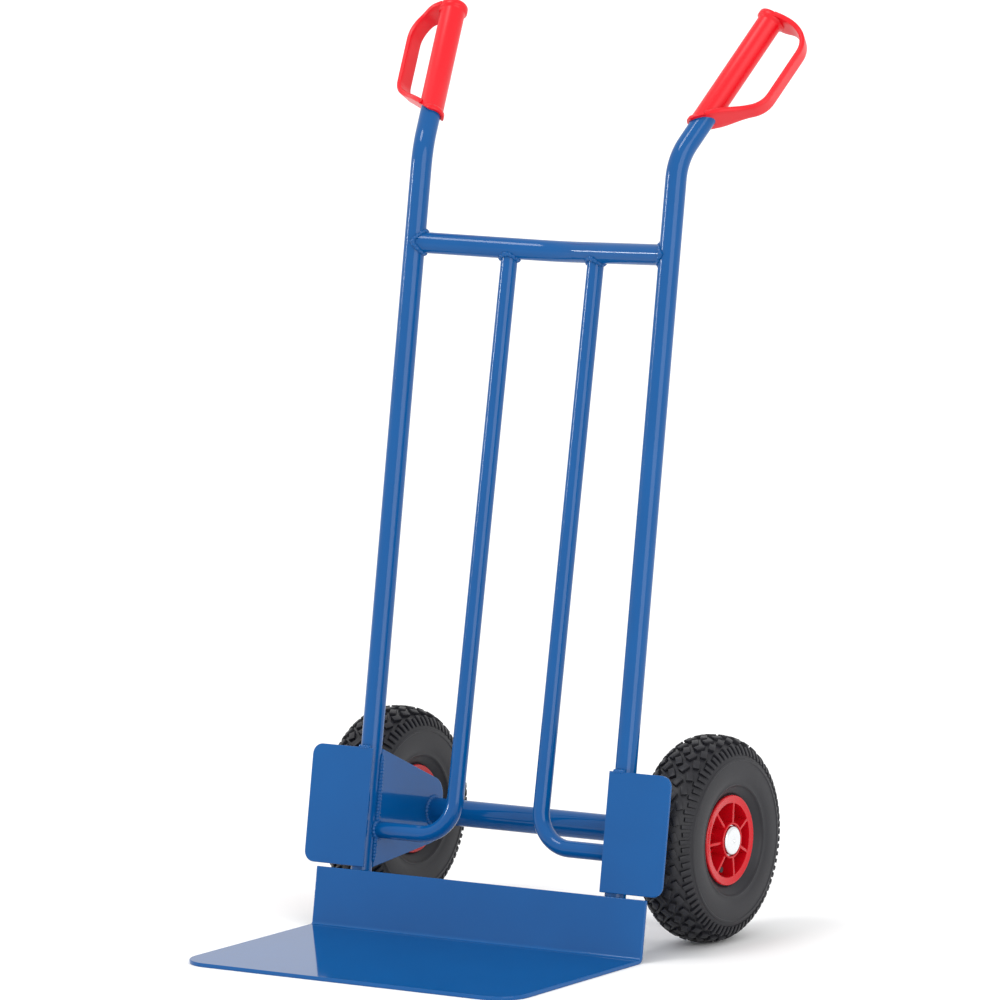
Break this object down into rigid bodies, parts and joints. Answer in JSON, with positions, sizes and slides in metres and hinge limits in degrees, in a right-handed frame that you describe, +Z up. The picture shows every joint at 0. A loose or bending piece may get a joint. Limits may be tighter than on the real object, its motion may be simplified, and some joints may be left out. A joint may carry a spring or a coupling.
{
  "type": "hand truck",
  "caption": "Upright two-wheeled hand truck: welded tube frame on a folded toe plate, air-filled wheels on a through axle and moulded grips with hand guards.",
  "frame": {"origin": "on the floor, in the middle of the truck's overall width and depth", "axes": "+X to the right for someone standing in front of the toe plate and looking at the frame, +Y from the toe plate to the handles, +Z up"},
  "size_m": [0.5868, 0.6427, 1.1567],
  "materials": {
    "blue_paint": "glossy powder coat",
    "red_plastic": "satin moulded polypropylene",
    "tyre_rubber": "matt",
    "valve_rubber": "matt",
    "cap_plastic": "matt",
    "zinc_steel": "bright zinc plate"
  },
  "bodies": {
    "frame": {"toe_plate": "blue_paint", "upright_left": "blue_paint", "upright_right": "blue_paint", "cross_bar": "blue_paint", "centre_rail_left": "blue_paint", "centre_rail_right": "blue_paint", "guard_plate_left": "blue_paint", "guard_plate_right": "blue_paint", "axle_bracket_left": "blue_paint", "axle_bracket_right": "blue_paint", "axle_tube": "blue_paint", "axle_rod": "zinc_steel", "grip_left": "red_plastic", "grip_right": "red_plastic", "axle_spacer_left": "zinc_steel", "axle_spacer_right": "zinc_steel", "inner_washer_left": "zinc_steel", "inner_washer_right": "zinc_steel", "outer_washer_left": "zinc_steel", "outer_washer_right": "zinc_steel", "hub_cap_left": "zinc_steel", "hub_cap_right": "zinc_steel"},
    "wheel_left": {"tyre_left": "tyre_rubber", "air_tube_left": "valve_rubber", "valve_stem_left": "valve_rubber", "valve_cap_left": "cap_plastic", "rim_outer_left": "red_plastic", "rim_inner_left": "red_plastic", "rim_screws_left": "zinc_steel", "bearing_sleeve_left": "zinc_steel", "bearing_cage_left": "cap_plastic", "bearing_rollers_left": "zinc_steel"},
    "wheel_right": {"tyre_right": "tyre_rubber", "air_tube_right": "valve_rubber", "valve_stem_right": "valve_rubber", "valve_cap_right": "cap_plastic", "rim_outer_right": "red_plastic", "rim_inner_right": "red_plastic", "rim_screws_right": "zinc_steel", "bearing_sleeve_right": "zinc_steel", "bearing_cage_right": "cap_plastic", "bearing_rollers_right": "zinc_steel"}
  },
  "joints": [
    {"name": "wheel_left_spin", "type": "hinge", "parent": "frame", "child": "wheel_left", "pos_m": [-0.23445, 0.15191, 0.13], "axis": [1, 0, 0], "continuous": true},
    {"name": "wheel_right_spin", "type": "hinge", "parent": "frame", "child": "wheel_right", "pos_m": [0.23445, 0.15191, 0.13], "axis": [1, 0, 0], "continuous": true}
  ]
}
